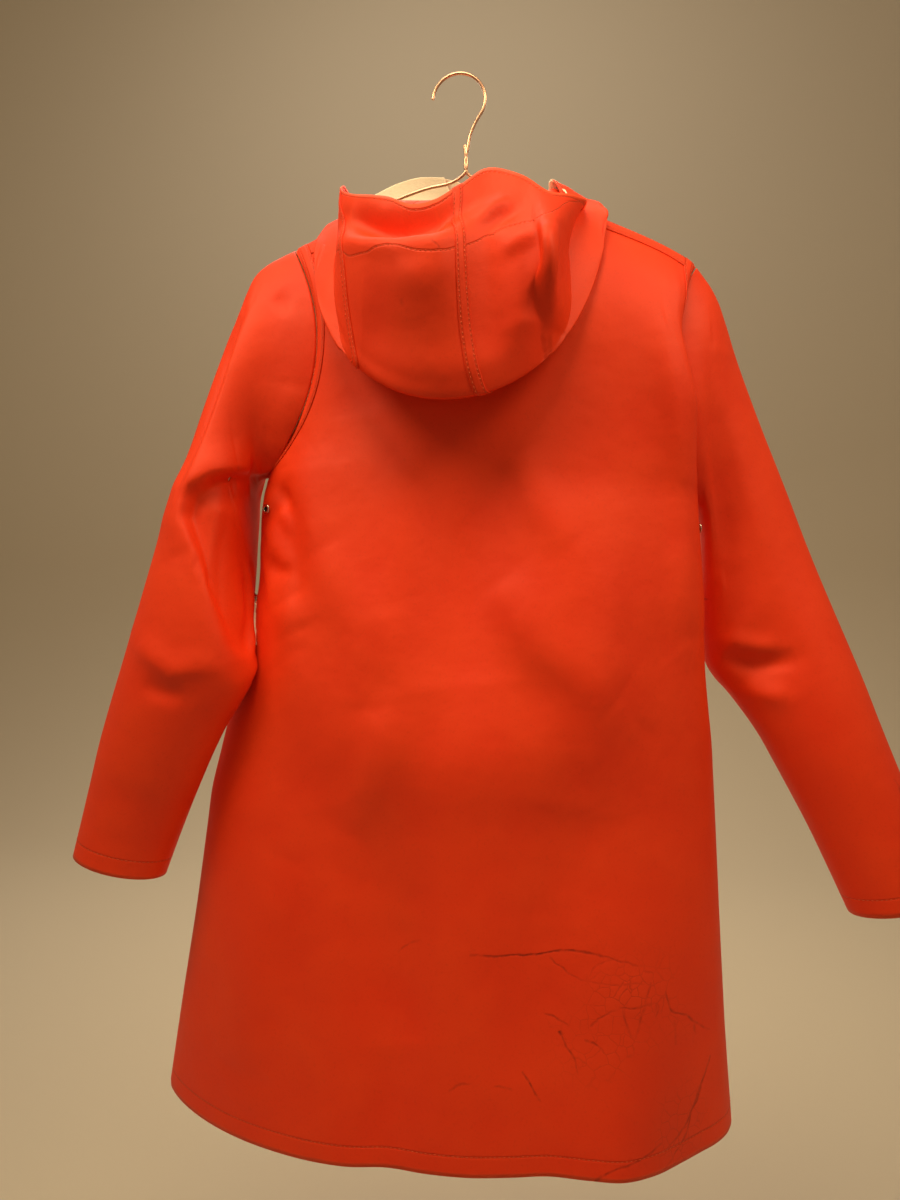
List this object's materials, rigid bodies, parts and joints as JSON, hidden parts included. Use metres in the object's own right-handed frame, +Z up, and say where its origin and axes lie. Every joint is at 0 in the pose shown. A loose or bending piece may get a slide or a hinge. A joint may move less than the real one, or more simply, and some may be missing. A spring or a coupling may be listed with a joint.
{
  "type": "hooded raincoat on a wire hanger",
  "caption": "Hooded A-line raincoat of coated cotton with set-in sleeves, hood hanging down the back, on a copper wire hanger whose hook goes over a rod.",
  "frame": {"origin": "inside top of the hanger's hook, where the rod carries it", "axes": "+Z up; the wearer's front faces -Y and the back +Y, so the wearer's left is +X"},
  "size_m": [0.871, 0.2706, 1.0418],
  "materials": {
    "coated_cotton": "matte rubbery coating outside, cream cotton inside",
    "silver_metal": "smooth",
    "copper_wire": "polished copper plating"
  },
  "bodies": {
    "root": {"back": "coated_cotton", "front_left": "coated_cotton", "front_right": "coated_cotton", "sleeve_left": "coated_cotton", "sleeve_right": "coated_cotton", "hood_left": "coated_cotton", "hood_middle": "coated_cotton", "hood_right": "coated_cotton", "shoulder_tape_left": "coated_cotton", "shoulder_tape_right": "coated_cotton", "armhole_tape_left": "coated_cotton", "armhole_tape_right": "coated_cotton", "hood_tape_left": "coated_cotton", "hood_tape_right": "coated_cotton", "snap_1": "silver_metal", "snap_2": "silver_metal", "snap_3": "silver_metal", "snap_4": "silver_metal", "snap_5": "silver_metal", "eyelet_left": "silver_metal", "eyelet_right": "silver_metal", "hanger": "copper_wire"}
  },
  "joints": []
}
